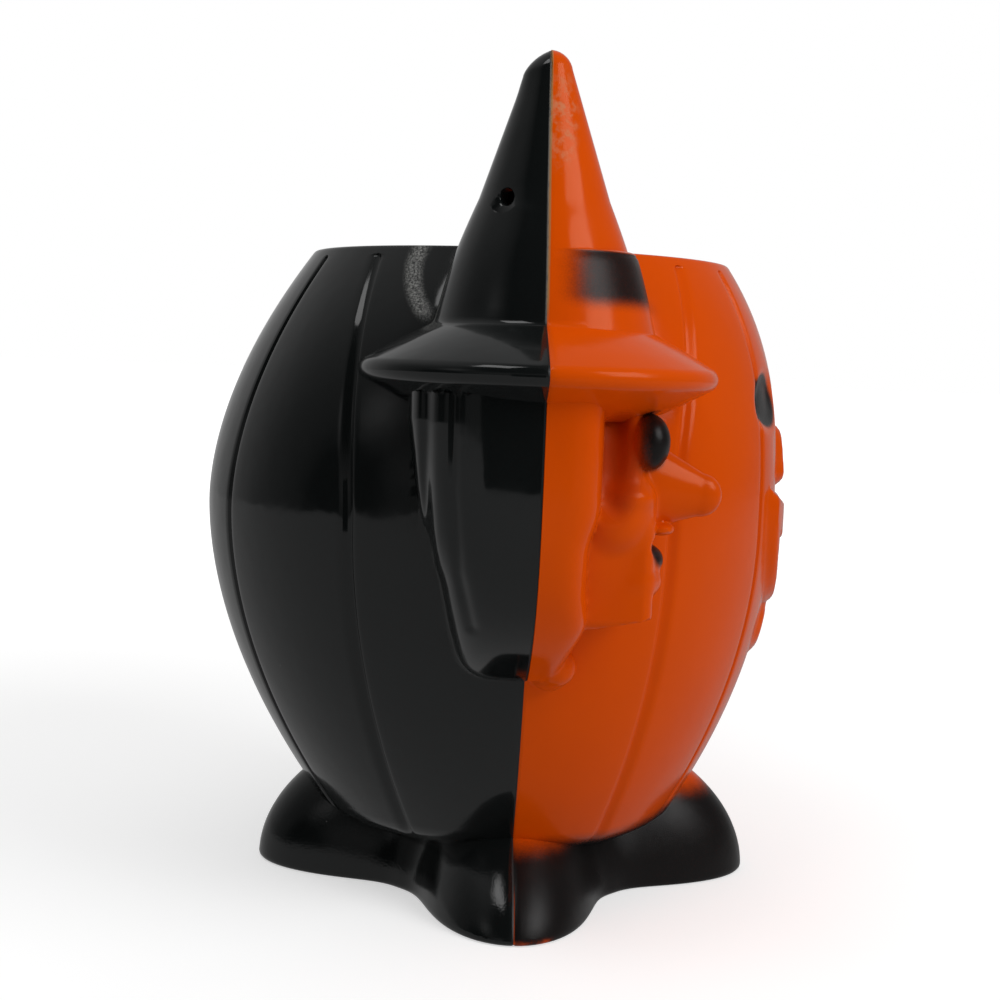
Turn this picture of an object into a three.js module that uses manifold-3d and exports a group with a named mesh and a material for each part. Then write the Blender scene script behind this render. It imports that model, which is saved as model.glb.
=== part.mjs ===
// Halloween candy cup: a ribbed pumpkin cup with a jack-o'-lantern face on its front and a witch's head
// on each side. It is moulded in two thin-walled halves, an orange front and a black back, glued along a
// flat upright seam. The front faces -Y, the witches stand at -X and +X, and Z is up. Millimetres.
// Everything is built about the seam, at y = 0, and the finished cup is then centred on its own width.
import {
  Box3,
  BoxGeometry,
  BufferAttribute,
  BufferGeometry,
  CylinderGeometry,
  ExtrudeGeometry,
  Group,
  LatheGeometry,
  MathUtils,
  Matrix4,
  Mesh,
  MeshStandardMaterial,
  Shape,
  SphereGeometry,
  Vector2,
} from 'three'
import { mergeVertices } from 'three/addons/utils/BufferGeometryUtils.js'
import Module from 'manifold-3d'

// Thickness of the moulded wall
const wall = 1.8

// Heights of the bowl: its rim, its widest part, the turn into its floor, and the floor's underside
const rimHeight = 101.5
const bellyHeight = 61
const turnHeight = 17.5
const underside = 5

// Reach of the bowl from the seam's middle at the rim, the belly and the turn. Shoulder and flank say
// how square it is above and below the belly.
const bowl = {
  back: { rim: 34.6, belly: 50.8, turn: 35.4, shoulder: 1.82, flank: 1.85 },
  front: { rim: 33.2, belly: 42.6, turn: 31, shoulder: 3, flank: 2 },
  side: { rim: 34, belly: 47, turn: 33.5, shoulder: 2.4, flank: 1.9 },
}

// Rib channels: their angles from the seam towards the back and towards the front, on each side
const channelTurns = { back: [31, 63.5, 90], front: [29, 60] }
const channel = { width: 1.3, lips: 2.1, depth: 0.8 }
const plainRim = 1.2
const channelFoot = turnHeight - 9

// Feet: a hollow skirt with four rounded lobes, under the front, the back and each witch
const lobeReach = { back: 41.4, front: 41, side: 41.8 }
const valleyReach = 24.6
const lobeSharpness = 2.1
const footEdge = 0.8
const skirtTop = turnHeight + 1.5
const lobeTop = skirtTop + 7

// Witches: the middle of the face stands out from the belly, and the hat's middle from the rim's side.
// Their heights are set from the hat's brim, which lies below the cup's rim.
const faceOut = bowl.side.belly + 4.5
const hatOut = faceOut - 6
const brimHeight = rimHeight - 17.9

// Hat: heights above the brim or below it, and radii
const brim = { radius: 25, lip: 1.9 }
const hatUnderside = { drop: 6, radius: 15.5 }
const crown = { rise: 6.6, radius: 14.7, flare: 1.2 }
const hatTip = { rise: 44.4, radius: 3.4 }
const band = { rise: 16.8, step: 1.2, edge: 0.4 }
const cordHole = { rise: 24, radius: 1.1, turn: 37 }

// Hair: its height below the brim, and its reach at its top and its rounded foot, outwards from the
// middle of the face, and back and forward from the seam
const hair = { top: 4.6, foot: 46, footRounding: 5, inner: 13.5, squareness: 2.4 }
const hairReach = {
  out: { top: 14.5, foot: -8.5, curve: 2.2 },
  back: { top: 18.3, foot: 8.8, curve: 1.5 },
  forward: { top: 9.8, foot: 7, curve: 1 },
}
const locks = { depth: 0.8, pitch: 20, from: 30, to: 110 }

// Face, as round forms: how far forward of the seam and below the brim the middle of each lies, its half
// sizes across, forward and up, and for a pair how far each stands from the middle of the face
const face = {
  skull: { forward: 4, drop: 18.6, halves: [9.2, 12.6, 17] },
  jaw: { forward: 6.2, drop: 30.6, halves: [8.2, 10.5, 9] },
  chin: { forward: 12.9, drop: 29.4, halves: [4.2, 4.3, 4.2] },
  nose: { forward: 18, drop: 16.5, halves: [3.6, 7.5, 4.9] },
  upperLip: { forward: 17, drop: 22.3, halves: [3.2, 2, 1.6] },
  lowerLip: { forward: 15.5, drop: 25.4, halves: [2.4, 1.8, 1.8] },
  eye: { forward: 14.9, drop: 8.8, halves: [2.6, 3, 3.6], spread: 5 },
  cheek: { forward: 12.3, drop: 20.2, halves: [4, 4, 4], spread: 5.4 },
}
const jawUnderside = 34.3

// Jack-o'-lantern: its nose, mouth and chin stand proud of the bowl, and its eyes are sunk in. Heights
// are measured from the belly.
const relief = { face: 1.6, chin: 1, eye: -0.6 }
const lantern = {
  eye: { across: 17, up: 19.3, halfWidth: 7.6, halfHeight: 4.6, slant: 12 },
  nose: { from: 5, to: 15, halfWidth: 6.5 },
  mouth: { from: -15, to: 5, halfWidth: 19.5, dip: 3 },
  chin: { from: -23.4, to: -13, halfWidth: 11.5 },
  gap: { from: -10, to: -2, inner: 3.2, outer: 15.5 },
}

// Fineness of the model
const ribStep = 10
const bowlRows = {
  ribbed: { shoulder: 8, flank: 7, turn: 4 },
  plain: { shoulder: 5, flank: 5, turn: 3 },
}
const plainColumns = 32
const skirt = { columns: 64, rows: 5 }
const hatSegments = 28
const hairColumns = 36
const hairRows = 8
const headForm = { around: 14, along: 8 }
const smallForm = { around: 10, along: 6 }
const curvePoints = 6

// Longer than any part of the cup, for cutting
const beyond = 200

const wasm = await Module()
wasm.setup()

// A three.js geometry as a closed solid with its faces turned outwards
function solid(geometry) {
  const bare = new BufferGeometry()
  bare.setAttribute('position', geometry.getAttribute('position').clone())
  if (geometry.index) {
    bare.setIndex(geometry.index.clone())
  }
  const merged = mergeVertices(bare, 1e-4)
  const vertProperties = new Float32Array(merged.getAttribute('position').array)
  const corners = merged.index.array
  const kept = []
  let volume = 0
  for (let i = 0; i < corners.length; i += 3) {
    const [a, b, c] = corners.slice(i, i + 3)
    if (a !== b && b !== c && c !== a) {
      kept.push(a, b, c)
      volume += cornerVolume(vertProperties, a, b, c)
    }
  }
  const triVerts = new Uint32Array(volume < 0 ? kept.reverse() : kept)
  return new wasm.Manifold(new wasm.Mesh({ numProp: 3, vertProperties, triVerts }))
}

function cornerVolume(points, a, b, c) {
  const [ax, ay, az] = points.slice(3 * a, 3 * a + 3)
  const [bx, by, bz] = points.slice(3 * b, 3 * b + 3)
  const [cx, cy, cz] = points.slice(3 * c, 3 * c + 3)
  return ax * (by * cz - bz * cy) + ay * (bz * cx - bx * cz) + az * (bx * cy - by * cx)
}

// A solid as a three.js geometry with flat facets
function geometryOf(body) {
  const mesh = body.getMesh()
  const geometry = new BufferGeometry()
  geometry.setAttribute('position', new BufferAttribute(new Float32Array(mesh.vertProperties), 3))
  geometry.setIndex(new BufferAttribute(new Uint32Array(mesh.triVerts), 1))
  geometry.computeVertexNormals()
  return geometry
}

function join(bodies) {
  return bodies.reduce((whole, body) => whole.add(body))
}

// A closed skin over rings of points, all with as many points, with a flat fan over each end
function loft(rings) {
  const count = rings[0].length
  const middle = (ring) => [0, 1, 2].map((axis) => ring.reduce((sum, point) => sum + point[axis], 0) / count)
  const points = [...rings.flat(), middle(rings[0]), middle(rings.at(-1))]
  const [bottom, top] = [points.length - 2, points.length - 1]
  const index = []
  for (let i = 0; i < count; i += 1) {
    const next = (i + 1) % count
    for (let row = 0; row < rings.length - 1; row += 1) {
      const [low, high] = [row * count, (row + 1) * count]
      index.push(low + i, low + next, high + next, low + i, high + next, high + i)
    }
    const last = (rings.length - 1) * count
    index.push(bottom, next, i, top, last + i, last + next)
  }
  const geometry = new BufferGeometry()
  geometry.setAttribute('position', new BufferAttribute(new Float32Array(points.flat()), 3))
  geometry.setIndex(index)
  return geometry
}

// A solid turned about an upright axis, from points (radius, height) that start and end on the axis
function turned(profile, segments) {
  const points = profile.map(([radius, height]) => new Vector2(radius, height))
  return new LatheGeometry(points, segments).rotateX(Math.PI / 2)
}

// Reach of the bowl's outside in one direction at a height
function bowlReach(direction, height) {
  const { rim, belly, turn, shoulder, flank } = bowl[direction]
  if (height > bellyHeight) {
    const rise = (height - bellyHeight) / (rimHeight - bellyHeight)
    return belly - (belly - rim) * rise ** shoulder
  }
  const drop = (bellyHeight - height) / (bellyHeight - turnHeight)
  const side = belly - (belly - turn) * drop ** flank
  if (height > turnHeight) {
    return side
  }
  const depth = Math.min((turnHeight - height) / (turnHeight - underside), 1)
  return Math.min(side, turn * Math.sqrt(1 - depth ** 2))
}

// A point (reach, height) of the bowl, moved inwards, square to its surface
function bowlPoint(direction, height, inset) {
  const step = 0.01
  const above = bowlReach(direction, height + step)
  const below = bowlReach(direction, height - step)
  const slope = (above - below) / (2 * step)
  const steepness = Math.hypot(1, slope)
  return [bowlReach(direction, height) - inset / steepness, height + (inset * slope) / steepness]
}

// Angles of all the channels round the bowl, in degrees from the right-hand side of the seam
function channelAngles() {
  const back = channelTurns.back.flatMap((turn) => [turn, 180 - turn])
  const front = channelTurns.front.flatMap((turn) => [360 - turn, 180 + turn])
  return [...new Set([...back, ...front])].sort((a, b) => a - b)
}

// Columns round the bowl as { turn, cut }: the lips and feet of each channel, and the ribs between
function ribbedColumns() {
  const toTurn = MathUtils.radToDeg(1 / bowl.side.belly)
  const foot = (channel.width / 2) * toTurn
  const lip = (channel.lips / 2) * toTurn
  const channels = channelAngles()
  const columns = channels.flatMap((turn) => [
    { turn: turn - lip, cut: 0 },
    { turn: turn - foot, cut: channel.depth },
    { turn: turn + foot, cut: channel.depth },
    { turn: turn + lip, cut: 0 },
  ])
  channels.forEach((turn, i) => {
    const next = i + 1 < channels.length ? channels[i + 1] : channels[0] + 360
    const steps = Math.round((next - turn) / ribStep)
    for (let step = 1; step < steps; step += 1) {
      columns.push({ turn: (turn + ((next - turn) * step) / steps) % 360, cut: 0 })
    }
  })
  return columns.sort((a, b) => a.turn - b.turn)
}

// Heights of the rows of the bowl from its underside up to its rim. Each channel ends between two rows
// that lie close together, below the plain rim.
function bowlHeights(rows) {
  const [lowTurn, channelTop] = [82, rimHeight - plainRim]
  const heights = []
  for (let row = rows.turn; row > 0; row -= 1) {
    const share = Math.sin((MathUtils.degToRad(lowTurn) * row) / rows.turn)
    heights.push(turnHeight - (turnHeight - underside) * share)
  }
  for (let row = 0; row < rows.flank; row += 1) {
    heights.push(MathUtils.lerp(turnHeight, bellyHeight, row / rows.flank))
  }
  for (let row = 0; row <= rows.shoulder; row += 1) {
    heights.push(MathUtils.lerp(bellyHeight, channelTop - channel.depth, row / rows.shoulder))
  }
  return [...heights, channelTop, rimHeight]
}

// The bowl's outside as one solid, with its channels
function ribbedBowl() {
  const columns = ribbedColumns()
  const rings = bowlHeights(bowlRows.ribbed).map((height) => {
    const isPlain = height < channelFoot || height >= rimHeight - plainRim
    return columns.map(({ turn, cut }) => bowlRingPoint(turn, height, 0, isPlain ? 0 : cut))
  })
  return solid(loft(rings))
}

// The bowl without its channels, moved inwards by an inset and carried on past its rim
function plainBowl(inset) {
  const columns = Array.from({ length: plainColumns }, (_, i) => (360 * i) / plainColumns)
  const rings = bowlHeights(bowlRows.plain).map((height) =>
    columns.map((turn) => bowlRingPoint(turn, height, inset, 0)),
  )
  const past = rings.at(-1).map(([x, y, z]) => [x, y, z + 2 * wall])
  return solid(loft([...rings, past]))
}

function bowlRingPoint(turn, height, inset, cut) {
  const angle = MathUtils.degToRad(turn)
  const [side, up] = bowlPoint('side', height, inset)
  const [deep] = bowlPoint(Math.sin(angle) > 0 ? 'back' : 'front', height, inset)
  return [(side - cut) * Math.cos(angle), (deep - cut) * Math.sin(angle), up]
}

// Plan of the feet: four lobes, and a valley between each two
function skirtReach(angle) {
  const toBackOrFront = Math.sin(angle) > 0 ? lobeReach.back : lobeReach.front
  const tip = MathUtils.lerp(lobeReach.side, toBackOrFront, Math.sin(angle) ** 2)
  return valleyReach + (tip - valleyReach) * Math.abs(Math.cos(2 * angle)) ** lobeSharpness
}

// One ring of the skirt: its width follows a dome over the whole lobe, less a tuck at its lower edge
function skirtRing(height, inset, tuck) {
  const share = Math.sqrt(1 - (Math.max(height, 0) / (lobeTop - inset)) ** 2)
  return Array.from({ length: skirt.columns }, (_, i) => {
    const angle = (2 * Math.PI * i) / skirt.columns
    const reach = (skirtReach(angle) - inset) * share - tuck
    return [reach * Math.cos(angle), reach * Math.sin(angle), height]
  })
}

function skirtSolid(inset) {
  const rings = Array.from({ length: skirt.rows }, (_, row) => {
    const height = MathUtils.lerp(2 * footEdge, skirtTop - inset, row / (skirt.rows - 1))
    return skirtRing(height, inset, 0)
  })
  const lowest = inset === 0 ? skirtRing(0, 0, footEdge) : skirtRing(-inset, inset, 0)
  return solid(loft([lowest, ...rings]))
}

// The hat, from the flat under its brim, round the brim's lip and up the crown to its rounded tip
function hatSolid() {
  const lipTurns = [-60, -25, 10, 45, 70]
  const lip = lipTurns.map((turn) => {
    const angle = MathUtils.degToRad(turn)
    return [brim.radius - brim.lip * (1 - Math.cos(angle)), brim.lip * Math.sin(angle)]
  })
  const tipShares = [0.92, 0.7, 0.35]
  const tip = tipShares.map((share) => {
    const drop = hatTip.radius * (1 - Math.sqrt(1 - share ** 2))
    return [hatTip.radius * share, hatTip.rise - drop]
  })
  const profile = [
    [0, -hatUnderside.drop],
    [hatUnderside.radius, -hatUnderside.drop],
    ...lip,
    [crown.radius + crown.flare, crown.rise],
    [crown.radius, crown.rise + crown.flare],
    ...tip,
    [0, hatTip.rise],
  ]
  return solid(turned(profile, hatSegments).translate(hatOut, 0, brimHeight))
}

// Radius of the crown at a height above the brim
function crownRadius(rise) {
  const share = (rise - crown.rise) / (hatTip.rise - hatTip.radius - crown.rise)
  return MathUtils.lerp(crown.radius, hatTip.radius, share)
}

// The band round the front of the crown: the same cone, one step further forward
function bandSolid() {
  const profile = [
    [0, crown.rise],
    [crownRadius(crown.rise), crown.rise],
    [crownRadius(band.rise) + band.edge, band.rise - 2 * band.edge],
    [crownRadius(band.rise) - band.edge, band.rise],
    [0, band.rise],
  ]
  return solid(turned(profile, hatSegments).translate(hatOut, -band.step, brimHeight))
}

function hatHollow() {
  const top = hatTip.rise - 2 * hatTip.radius
  const profile = [
    [0, -hatUnderside.drop - 2 * wall],
    [hatUnderside.radius - wall, -hatUnderside.drop + wall / 2],
    [brim.radius - 2.5 * wall, 0],
    [crown.radius - wall, crown.rise - wall / 2],
    [crownRadius(top) - wall, top],
    [0, top + wall / 2],
  ]
  return solid(turned(profile, hatSegments).translate(hatOut, 0, brimHeight))
}

// Reach of the hair in one direction at a share of its height
function hairReachAt(direction, share) {
  const { top, foot, curve } = hairReach[direction]
  return foot + (top - foot) * (1 - (1 - share) ** curve)
}

// The hair: level rings with rounded corners, drawn in towards a rounded foot, with locks at the back
function hairSolid(inset) {
  const [footHeight, topHeight] = [brimHeight - hair.foot + inset, brimHeight - hair.top]
  const [leastShare, power] = [0.35, 2 / hair.squareness]
  const rounded = (value) => Math.sign(value) * Math.abs(value) ** power
  const rings = Array.from({ length: hairRows + 1 }, (_, row) => {
    const share = (row / hairRows) ** 1.5
    const height = MathUtils.lerp(footHeight, topHeight, share)
    const rise = MathUtils.clamp((height - footHeight) / hair.footRounding, 0, 1)
    const rounding = leastShare + (1 - leastShare) * Math.sqrt(1 - (1 - rise) ** 2)
    const out = faceOut + hairReachAt('out', share) - inset
    const inner = faceOut - hair.inner - inset
    const middle = (out + inner) / 2
    return Array.from({ length: hairColumns }, (_, i) => {
      const turn = (360 * i) / hairColumns
      const angle = MathUtils.degToRad(turn)
      const deep = (hairReachAt(turn < 180 ? 'back' : 'forward', share) - inset) * rounding
      const lock = inset === 0 ? lockCut(turn) * rounding : 0
      const across = (out - middle - lock) * rounded(Math.cos(angle))
      return [middle + across, (deep - lock) * rounded(Math.sin(angle)), height]
    })
  })
  return solid(loft(rings))
}

// Depth of the grooves between the locks at the back of the hair
function lockCut(turn) {
  if (turn < locks.from || turn > locks.to) {
    return 0
  }
  return (locks.depth * (1 + Math.cos((2 * Math.PI * (turn - locks.from)) / locks.pitch))) / 2
}

// One round form of the face, or a pair of them, moved inwards by an inset
function faceForm({ forward, drop, halves, spread }, { around, along }, inset) {
  const [halfOut, halfForward, halfUp] = halves.map((half) => half - inset)
  const places = spread ? [-spread, spread] : [0]
  const forms = places.map((across) => {
    const geometry = new SphereGeometry(1, around, along).scale(halfOut, halfForward, halfUp)
    return solid(geometry.translate(faceOut + across, -forward, brimHeight - drop))
  })
  return join(forms)
}

// The whole face, flat under the jaw
function faceSolid() {
  const { skull, jaw, nose, ...small } = face
  const large = [skull, jaw, nose].map((form) => faceForm(form, headForm, 0))
  const rest = Object.values(small).map((form) => faceForm(form, smallForm, 0))
  const below = new BoxGeometry(beyond, beyond, beyond)
  below.translate(0, 0, brimHeight - jawUnderside - beyond / 2)
  return join([...large, ...rest]).subtract(solid(below))
}

// The cord's hole, through the back wall of the hat only
function cordHoleSolid() {
  const length = 2 * crown.radius
  const hole = new CylinderGeometry(cordHole.radius, cordHole.radius, length, 16)
  hole.rotateZ(Math.PI / 2).translate(length / 2, 0, 0)
  hole.rotateZ(MathUtils.degToRad(cordHole.turn))
  return solid(hole.translate(hatOut, 0, brimHeight + cordHole.rise))
}

// One witch as it is on the right, or mirrored to the left
function placed(body, left) {
  return left ? body.transform(new Matrix4().makeScale(-1, 1, 1).elements) : body
}

// An outline seen from the front, with its heights from the belly, as a bar that runs out of the front
function frontBar(shape) {
  const options = { depth: beyond, bevelEnabled: false, curveSegments: curvePoints }
  return solid(new ExtrudeGeometry(shape, options).rotateX(Math.PI / 2).translate(0, 0, bellyHeight))
}

function eyeShape(side) {
  const { across, up, halfWidth, halfHeight, slant } = lantern.eye
  const turn = MathUtils.degToRad(-side * slant)
  return new Shape().absellipse(side * across, up, halfWidth, halfHeight, 0, 2 * Math.PI, false, turn)
}

// A rounded triangle, widest near its foot
function noseShape() {
  const { from, to, halfWidth } = lantern.nose
  const [corner, waist, top] = [1.5 * halfWidth, 0.8 * halfWidth, 0.5 * halfWidth]
  const middle = (from + to) / 2
  const shape = new Shape()
  shape.moveTo(0, from)
  shape.quadraticCurveTo(corner, from, waist, middle)
  shape.quadraticCurveTo(top, to, 0, to)
  shape.quadraticCurveTo(-top, to, -waist, middle)
  shape.quadraticCurveTo(-corner, from, 0, from)
  return shape
}

// A wide grin, with its corners up and a dip on each side of its middle
function mouthShape() {
  const { from, to, halfWidth, dip } = lantern.mouth
  const [low, side] = [0.8 * halfWidth, 1.1 * halfWidth]
  const middle = (from + to) / 2
  const shape = new Shape()
  shape.moveTo(0, from)
  shape.bezierCurveTo(low, from, side, middle, halfWidth, to)
  shape.quadraticCurveTo(halfWidth / 2, to - dip, 0, to - dip / 3)
  shape.quadraticCurveTo(-halfWidth / 2, to - dip, -halfWidth, to)
  shape.bezierCurveTo(-side, middle, -low, from, 0, from)
  return shape
}

function chinShape() {
  const { from, to, halfWidth } = lantern.chin
  const middle = (from + to) / 2
  return new Shape().absellipse(0, middle, halfWidth, (to - from) / 2, 0, 2 * Math.PI, false, 0)
}

// The open part of the mouth on one side of its middle tooth
function gapShape(side) {
  const { from, to, inner, outer } = lantern.gap
  const shape = new Shape()
  shape.moveTo(side * inner, from)
  shape.quadraticCurveTo(side * outer, from, side * outer, to)
  shape.quadraticCurveTo((side * (inner + outer)) / 2, to - lantern.mouth.dip, side * inner, to)
  return shape
}

// The raised parts of the jack-o'-lantern, less the open part of its mouth
function raisedFace() {
  const grin = join([noseShape(), mouthShape()].map(frontBar)).intersect(plainBowl(-relief.face))
  const chin = frontBar(chinShape()).intersect(plainBowl(-relief.chin))
  const gaps = join([gapShape(-1), gapShape(1)].map(frontBar))
  return grin.add(chin).subtract(gaps)
}

function sunkEyes() {
  return join([eyeShape(-1), eyeShape(1)].map(frontBar)).subtract(plainBowl(-relief.eye))
}

// The whole cup, before it is parted at the seam
function cupSolid() {
  const feet = skirtSolid(0).subtract(skirtSolid(wall))
  const bodies = [ribbedBowl(), feet, raisedFace()]
  const hollows = [plainBowl(wall), sunkEyes()]
  const head = join([hatSolid(), bandSolid(), hairSolid(0), faceSolid()])
  const skullHollow = faceForm(face.skull, headForm, wall)
  const headHollow = join([hatHollow(), hairSolid(wall), skullHollow, cordHoleSolid()])
  for (const left of [false, true]) {
    bodies.push(placed(head, left))
    hollows.push(placed(headHollow, left))
  }
  return join(bodies).subtract(join(hollows))
}

// One half of the cup, on its own side of the seam
function half(cup, side) {
  const box = new BoxGeometry(beyond, beyond, beyond)
  return cup.intersect(solid(box.translate(0, (side * beyond) / 2, beyond / 2 - wall)))
}

function piece(name, body, color) {
  const material = new MeshStandardMaterial({ color, roughness: 0.18, metalness: 0 })
  const mesh = new Mesh(geometryOf(body), material)
  mesh.name = name
  return mesh
}

const cup = cupSolid()
const container = new Group()
container.add(piece('front_shell', half(cup, -1), 0xd9480a))
container.add(piece('back_shell', half(cup, 1), 0x111312))
const outer = new Box3().setFromObject(container)
container.position.y = -(outer.min.y + outer.max.y) / 2

export default container
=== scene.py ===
# Halloween candy cup: a ribbed pumpkin cup in hard plastic, in two glued halves. The front is orange, with a
# jack-o'-lantern face and sprayed black details, and the back is black. A witch's head stands on each side.
import math

import bmesh
import bpy
import numpy as np
from mathutils import Matrix, Vector


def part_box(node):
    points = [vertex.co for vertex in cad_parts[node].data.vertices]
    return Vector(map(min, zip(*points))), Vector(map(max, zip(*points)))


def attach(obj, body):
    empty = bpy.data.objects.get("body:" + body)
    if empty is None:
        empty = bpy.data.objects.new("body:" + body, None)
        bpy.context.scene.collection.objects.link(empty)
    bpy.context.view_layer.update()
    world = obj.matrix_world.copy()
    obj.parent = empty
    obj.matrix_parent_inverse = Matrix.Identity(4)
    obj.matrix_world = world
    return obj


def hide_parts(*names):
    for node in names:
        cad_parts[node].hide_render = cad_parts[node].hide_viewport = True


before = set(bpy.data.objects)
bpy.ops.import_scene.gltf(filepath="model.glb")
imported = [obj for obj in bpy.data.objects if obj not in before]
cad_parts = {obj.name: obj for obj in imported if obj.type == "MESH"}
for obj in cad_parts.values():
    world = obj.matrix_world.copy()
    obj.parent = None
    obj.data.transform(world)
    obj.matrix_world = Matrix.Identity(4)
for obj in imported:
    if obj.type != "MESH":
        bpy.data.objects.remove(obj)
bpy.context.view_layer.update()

# Sizes are in millimetres, measured from the seam: x across the cup, y towards its back and z up.
MM = 0.001
SEAM_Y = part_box("front_shell")[1].y / MM
WALL = 1.8

# Bowl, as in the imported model
RIM, BELLY, TURN, UNDERSIDE = 101.5, 61.0, 17.5, 5.0
BOWL = {
    "back": {"rim": 34.6, "belly": 50.78, "turn": 35.4, "shoulder": 1.82, "flank": 1.85},
    "front": {"rim": 33.2, "belly": 42.6, "turn": 31.0, "shoulder": 3.0, "flank": 2.0},
    "side": {"rim": 34.0, "belly": 47.0, "turn": 33.5, "shoulder": 2.4, "flank": 1.9},
}
RIM_ROUNDING = 0.35

# Rib channels: turns from the seam in degrees, depth, and how far those nearest the seam lean away from it
CHANNEL_TURNS = {"back": (31.0, 63.5, 90.0), "front": (29.0, 60.0)}
CHANNEL_DEPTH = 0.7
CHANNEL_LEAN = math.radians(11)
CHANNEL_TOP = RIM - 1.2
CHANNEL_FOOT = TURN - 9
# Space between the bowl's columns, which are closer on the front for its face
COLUMN_STEP = {"front": 0.6, "back": 1.3}
LEAST_RADIUS = 22.0

# Jack-o'-lantern, with its heights measured from the belly
RELIEF = {"face": 1.6, "chin": 1.0, "eye": -1.1}

# Feet: reach of the lobes and of the valleys between them, and the heights at which the lobes would close
LOBE = {"back": 41.4, "front": 41.0, "side": 42.4}
VALLEY, LOBE_SHARPNESS = 24.8, 2.6
SKIRT_TOP = TURN + 1.5
LOBE_TOP = {"side": SKIRT_TOP + 5.0, "deep": SKIRT_TOP + 7}
LOBE_POWER = {"side": 1.5, "deep": 2.0}
FOOT_EDGE = 0.8

# Witches
FACE_X = BOWL["side"]["belly"] + 4.5
HAIR_INNER = FACE_X - 13.5
HAT_X = FACE_X - 6
BRIM_Z = RIM - 17.9
BRIM = {"radius": 24.95, "lip": 1.7, "slope": 61.0}
HAT_UNDER = {"drop": 6.0, "radius": 15.5}
CROWN = {"rise": 6.6, "radius": 14.7}
HAT_TIP = {"rise": 44.0, "radius": 3.4}
BAND = {"rise": 16.8, "step": 1.1}
CORD_HOLE = {"rise": 23.4, "radius": 1.1, "turn": 39.0}

# Box round a head (out, forward, up), its grid, and how far each half of it runs past the seam
HEAD_LOW, HEAD_HIGH = (34.0, -20.5, 35.6), (70.0, 27.0, 82.0)
CELL = 0.45
PAST_SEAM = 1.5

# Eased edge along the seam, and the angle from which an edge is sharp
GROOVE = {"width": 0.28, "depth": 0.13}
SHARP = math.radians(35)


def smoothstep(low, high, value):
    share = np.clip((value - low) / (high - low), 0, 1)
    return share * share * (3 - 2 * share)


# Angles round a full circle, without its end
def full_turn(count):
    return np.linspace(0, 2 * math.pi, count, endpoint=False)


def level_ring(x, y, height):
    return np.stack([x, y, np.full(len(x), height)], 1)


def add_object(name, data):
    made = bpy.data.objects.new(name, data)
    bpy.context.scene.collection.objects.link(made)
    return made


# Meshes from points and faces, in millimetres from the seam
def mesh_object(name, points, faces):
    points = np.asarray(points, float) + (0, SEAM_Y, 0)
    mesh = bpy.data.meshes.new(name)
    mesh.from_pydata((points * MM).tolist(), [], [list(face) for face in faces])
    return add_object(name, mesh)


# Four-sided faces between rings of count points each
def ring_faces(rows, count):
    column = np.arange(count)
    after = (column + 1) % count
    first = np.stack([column, after, count + after, count + column], 1)
    return np.vstack([first + row * count for row in range(rows - 1)]).tolist()


# A closed skin over rings of points, with a fan over each end. rings is (rows, columns, 3).
def loft(name, rings):
    rings = np.asarray(rings, float)
    rows, count = rings.shape[:2]
    points = np.vstack([rings.reshape(-1, 3), rings[0].mean(0), rings[-1].mean(0)])
    low_end, high_end = rows * count, rows * count + 1
    last = (rows - 1) * count
    sides = [(column, (column + 1) % count) for column in range(count)]
    faces = ring_faces(rows, count)
    faces += [[low_end, b, a] for a, b in sides]
    faces += [[high_end, last + a, last + b] for a, b in sides]
    return mesh_object(name, points, faces)


# A solid turned about an upright axis, from (radius, height) points that start and end on the axis
def turned(name, profile, segments, centre):
    turn = full_turn(segments)
    rings = []
    for radius, height in profile[1:-1]:
        x, y = centre[0] + radius * np.cos(turn), centre[1] + radius * np.sin(turn)
        rings.append(level_ring(x, y, centre[2] + height))
    return loft(name, rings)


def apply_boolean(target, tool, operation):
    change = target.modifiers.new(operation, "BOOLEAN")
    change.operation, change.object, change.solver = operation, tool, "MANIFOLD"
    graph = bpy.context.evaluated_depsgraph_get()
    result = bpy.data.meshes.new_from_object(target.evaluated_get(graph))
    target.modifiers.clear()
    target.data = result
    bpy.data.objects.remove(tool)


# How far the bowl reaches from its middle line at a height
def bowl_reach(direction, height):
    size = BOWL[direction]
    height = np.asarray(height, float)
    rise = np.clip((height - BELLY) / (RIM - BELLY), 0, None)
    drop = np.clip((BELLY - height) / (BELLY - TURN), 0, None)
    upper = size["belly"] - (size["belly"] - size["rim"]) * rise ** size["shoulder"]
    lower = size["belly"] - (size["belly"] - size["turn"]) * drop ** size["flank"]
    depth = np.clip((TURN - height) / (TURN - UNDERSIDE), 0, 1)
    round_turn = size["turn"] * np.sqrt(1 - depth**2)
    side = np.where(height > BELLY, upper, lower)
    return np.where(height > TURN, side, np.minimum(side, round_turn))


# Points of the bowl at turns (radians) and heights, moved inwards by an inset square to its profile
def bowl_points(turn, height, inset):
    step = 0.01
    reach, slope = {}, {}
    for direction in BOWL:
        above, below = bowl_reach(direction, height + step), bowl_reach(direction, height - step)
        slope[direction] = (above - below) / (2 * step)
        reach[direction] = bowl_reach(direction, height) - inset / np.hypot(1, slope[direction])
    up = height + inset * slope["side"] / np.hypot(1, slope["side"])
    deep = np.where(np.sin(turn) > 0, reach["back"], reach["front"])
    return np.stack(np.broadcast_arrays(reach["side"] * np.cos(turn), deep * np.sin(turn), up), -1)


def channel_turns(half):
    turns = CHANNEL_TURNS[half]
    both = sorted({t for turn in turns for t in (turn, 180 - turn)})
    return np.radians(both) if half == "back" else np.radians([t + 180 for t in both])


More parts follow.
